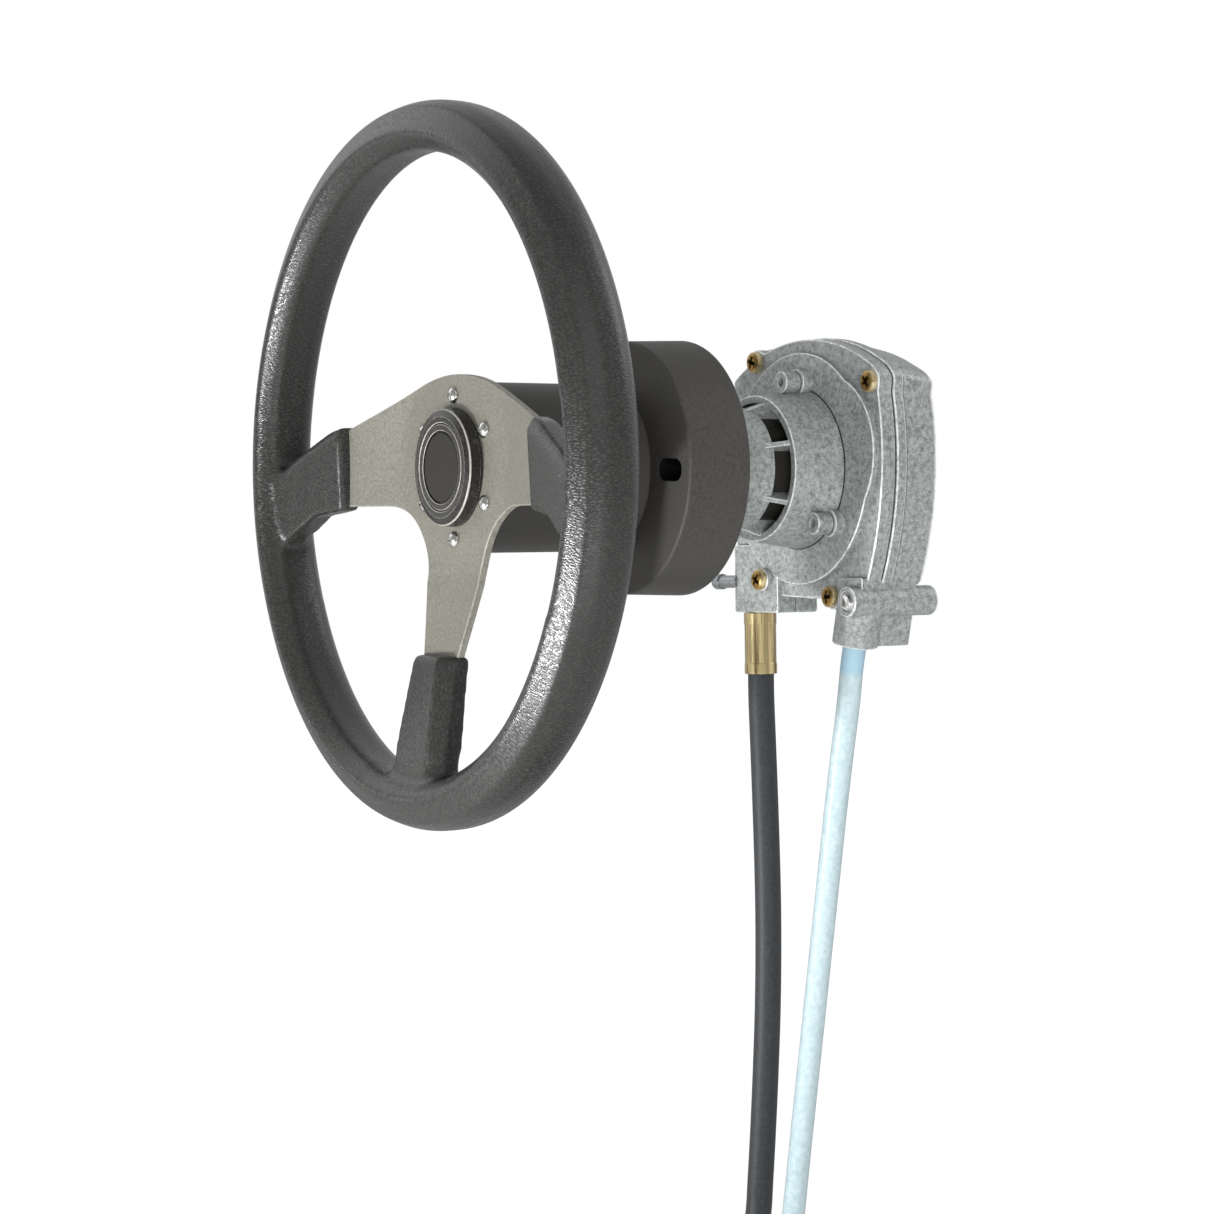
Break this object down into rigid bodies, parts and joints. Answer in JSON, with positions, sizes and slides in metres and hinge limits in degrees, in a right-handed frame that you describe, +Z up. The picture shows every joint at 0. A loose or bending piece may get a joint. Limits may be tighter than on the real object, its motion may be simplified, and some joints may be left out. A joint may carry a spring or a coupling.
{
  "type": "boat steering helm",
  "caption": "Mechanical boat steering helm: padded three-spoke wheel on a keyed shaft, round dash bezel, cast gear housing that drives a push-pull cable, and a spent-travel tube.",
  "frame": {"origin": "on the steering axis, in the plane of the front faces of the three mounting lugs", "axes": "+Y along the steering axis away from the driver, +Z up, +X to the driver's right"},
  "size_m": [0.35, 0.3411, 0.647],
  "materials": {
    "grip": "soft moulded grip with a fine leather grain",
    "steel": "plain machined steel",
    "plate": "brushed and clear coated",
    "hub": "satin black",
    "cap": "satin black",
    "badge": null,
    "bright_screw": "polished",
    "bezel": "lightly textured black",
    "casting": "as cast, grey",
    "zinc_yellow": "yellow zinc plated",
    "bronze": "sintered bronze",
    "brass": "turned brass",
    "nylon": "natural nylon",
    "gear": "hobbed steel",
    "gasket": "pressed sheet",
    "seal": "black lip seal",
    "drum": "die cast",
    "cable_core": "wound steel wire",
    "jacket": "black extruded jacket",
    "clear_tube": "milky translucent",
    "plug": "natural white",
    "strap": "black",
    "transport_cap": "red"
  },
  "bodies": {
    "housing": {"bezel": "bezel", "front_housing": "casting", "rear_cover": "casting", "housing_gasket": "gasket", "housing_screws": "zinc_yellow", "nose_bush": "bronze", "boss_bush": "bronze", "end_bush": "bronze", "shaft_seal": "seal", "ring_gear": "nylon", "thrust_washer": "nylon", "cable_core": "cable_core", "cable_ferrule": "brass", "lock_pin": "steel", "tube_clamp": "casting", "clamp_bolt": "bright_screw", "spent_tube": "clear_tube", "tube_plug": "plug", "steering_cable": "jacket", "cable_coil": "jacket", "cable_tail": "jacket", "coil_tie": "strap", "end_sleeve": "steel", "coupling_nut": "steel", "end_cap": "transport_cap"},
    "wheel": {"wheel_rim": "grip", "rim_core": "steel", "spoke_plate": "plate", "wheel_hub": "hub", "hub_screws": "bright_screw", "centre_cap": "cap", "cap_ring": "cap", "cap_badge": "badge", "shaft_nut": "steel", "nut_washer": "steel", "steering_shaft": "steel", "shaft_key": "steel", "sun_gear": "gear", "shaft_clip": "steel"},
    "drum": {"cable_drum": "drum", "planet_pins": "steel", "carrier_plate": "steel"},
    "planet_1": {"planet_gear_1": "gear"},
    "planet_2": {"planet_gear_2": "gear"},
    "planet_3": {"planet_gear_3": "gear"}
  },
  "joints": [
    {"name": "wheel_turn", "type": "hinge", "parent": "housing", "child": "wheel", "pos_m": [0, 0, 0], "axis": [0, 1, 0], "range_deg": [-684, 684]},
    {"name": "drum_turn", "type": "hinge", "parent": "housing", "child": "drum", "pos_m": [0, 0, 0], "axis": [0, 1, 0], "range_deg": [-137, 137]},
    {"name": "planet_spin_1", "type": "hinge", "parent": "drum", "child": "planet_1", "pos_m": [0.0225, 0, 0], "axis": [0, 1, 0], "range_deg": [-365, 365]},
    {"name": "planet_spin_2", "type": "hinge", "parent": "drum", "child": "planet_2", "pos_m": [-0.01125, 0, 0.01949], "axis": [0, 1, 0], "range_deg": [-365, 365]},
    {"name": "planet_spin_3", "type": "hinge", "parent": "drum", "child": "planet_3", "pos_m": [-0.01125, 0, -0.01949], "axis": [0, 1, 0], "range_deg": [-365, 365]}
  ],
  "couplings": [
    {"joint": "drum_turn", "follows": "wheel_turn", "ratio": 0.2},
    {"joint": "planet_spin_1", "follows": "wheel_turn", "ratio": -0.53333},
    {"joint": "planet_spin_2", "follows": "wheel_turn", "ratio": -0.53333},
    {"joint": "planet_spin_3", "follows": "wheel_turn", "ratio": -0.53333}
  ]
}
